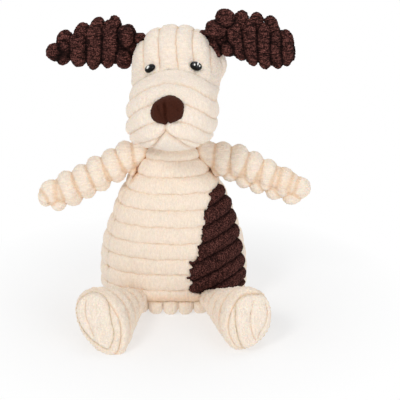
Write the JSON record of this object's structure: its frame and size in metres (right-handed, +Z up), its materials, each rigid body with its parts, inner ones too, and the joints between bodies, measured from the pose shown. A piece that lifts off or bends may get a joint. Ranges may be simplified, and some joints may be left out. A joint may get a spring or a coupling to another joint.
{
  "type": "stuffed dog toy with squeaker",
  "caption": "Sitting stuffed puppy toy in wide-wale plush corduroy with held-out ears, ribbed arms, stub legs, a side patch and a squeaker sealed in its body.",
  "frame": {"origin": "centre of the seat's flat underside, on the floor the toy sits on", "axes": "+Z up through the head, -Y the way the face looks, +X the toy's own left"},
  "size_m": [0.1547, 0.1082, 0.1738],
  "materials": {
    "cream_plush": "wide-wale plush corduroy, warm cream",
    "head_plush": "wide-wale plush corduroy, a little whiter cream",
    "chin_plush": "short smooth near-white plush",
    "brown_plush": "wide-wale plush corduroy, dark brown",
    "nose_satin": "dark brown satin with a soft sheen",
    "eye_black": "glossy black",
    "washer_white": "off-white moulded plastic",
    "stuffing_white": "white hollow-fibre stuffing",
    "crinkle_film": "thin crinkly film",
    "neck_thread": "strong waxed thread",
    "bladder": "soft milky blown plastic",
    "reed": "thin clear plastic strip"
  },
  "bodies": {
    "torso": {"body_front_panel": "cream_plush", "body_patch": "brown_plush", "body_back_panel": "cream_plush", "body_seat_panel": "cream_plush", "body_stuffing_front": "stuffing_white", "body_stuffing_back": "stuffing_white", "squeaker_fold": "bladder", "squeaker_cup": "bladder", "squeaker_plug": "washer_white", "squeaker_reed": "reed"},
    "squeaker": {"squeaker_front": "bladder"},
    "neck": {"neck_thread": "neck_thread"},
    "head": {"head_forehead_panel": "head_plush", "head_back_panel": "head_plush", "head_muzzle_panel": "head_plush", "head_chin_panel": "chin_plush", "head_stuffing": "stuffing_white", "nose": "nose_satin", "eye_left": "eye_black", "eye_right": "eye_black", "eye_washer_left": "washer_white", "eye_washer_right": "washer_white"},
    "ear_left": {"ear_left_front": "brown_plush", "ear_left_back": "brown_plush", "ear_left_film": "crinkle_film"},
    "ear_right": {"ear_right_front": "brown_plush", "ear_right_back": "brown_plush", "ear_right_film": "crinkle_film"},
    "arm_left": {"arm_left_cover": "cream_plush", "arm_left_stuffing": "stuffing_white"},
    "arm_right": {"arm_right_cover": "cream_plush", "arm_right_stuffing": "stuffing_white"},
    "leg_left": {"leg_left_cover": "cream_plush", "leg_left_sole": "cream_plush", "leg_left_stuffing": "stuffing_white"},
    "leg_right": {"leg_right_cover": "cream_plush", "leg_right_sole": "cream_plush", "leg_right_stuffing": "stuffing_white"}
  },
  "joints": [
    {"name": "squeaker_press", "type": "slide", "parent": "torso", "child": "squeaker", "axis": [0, 1, 0], "range_m": [0, 0.005], "stiffness_N_per_m": 300, "deforming": ["squeaker_fold"]},
    {"name": "head_turn", "type": "hinge", "parent": "torso", "child": "neck", "pos_m": [0, 0, 0.092], "axis": [0, 0, 1], "range_deg": [-25, 25], "stiffness_Nm_per_rad": 0.06},
    {"name": "head_nod", "type": "hinge", "parent": "neck", "child": "head", "pos_m": [0, 0, 0.092], "axis": [1, 0, 0], "range_deg": [-15, 15], "stiffness_Nm_per_rad": 0.12},
    {"name": "ear_left_fold", "type": "hinge", "parent": "head", "child": "ear_left", "pos_m": [0.02594, 0.00164, 0.15101], "axis": [0.422, -0.0221, -0.9063], "range_deg": [-40, 60], "stiffness_Nm_per_rad": 0.01},
    {"name": "ear_right_fold", "type": "hinge", "parent": "head", "child": "ear_right", "pos_m": [-0.02323, 0.00422, 0.15101], "axis": [0.422, -0.0221, 0.9063], "range_deg": [-40, 60], "stiffness_Nm_per_rad": 0.01},
    {"name": "arm_left_raise", "type": "hinge", "parent": "torso", "child": "arm_left", "pos_m": [0.01962, -0.0027, 0.09545], "axis": [0, -1, 0], "range_deg": [-25, 35], "stiffness_Nm_per_rad": 0.04},
    {"name": "arm_right_raise", "type": "hinge", "parent": "torso", "child": "arm_right", "pos_m": [-0.01935, -0.00265, 0.09491], "axis": [0, 1, 0], "range_deg": [-25, 35], "stiffness_Nm_per_rad": 0.04},
    {"name": "leg_left_lift", "type": "hinge", "parent": "torso", "child": "leg_left", "pos_m": [0.022, -0.027, 0.0151], "axis": [-1, 0, 0], "range_deg": [0, 65], "stiffness_Nm_per_rad": 0.02},
    {"name": "leg_right_lift", "type": "hinge", "parent": "torso", "child": "leg_right", "pos_m": [-0.022, -0.027, 0.0151], "axis": [-1, 0, 0], "range_deg": [0, 65], "stiffness_Nm_per_rad": 0.02}
  ]
}
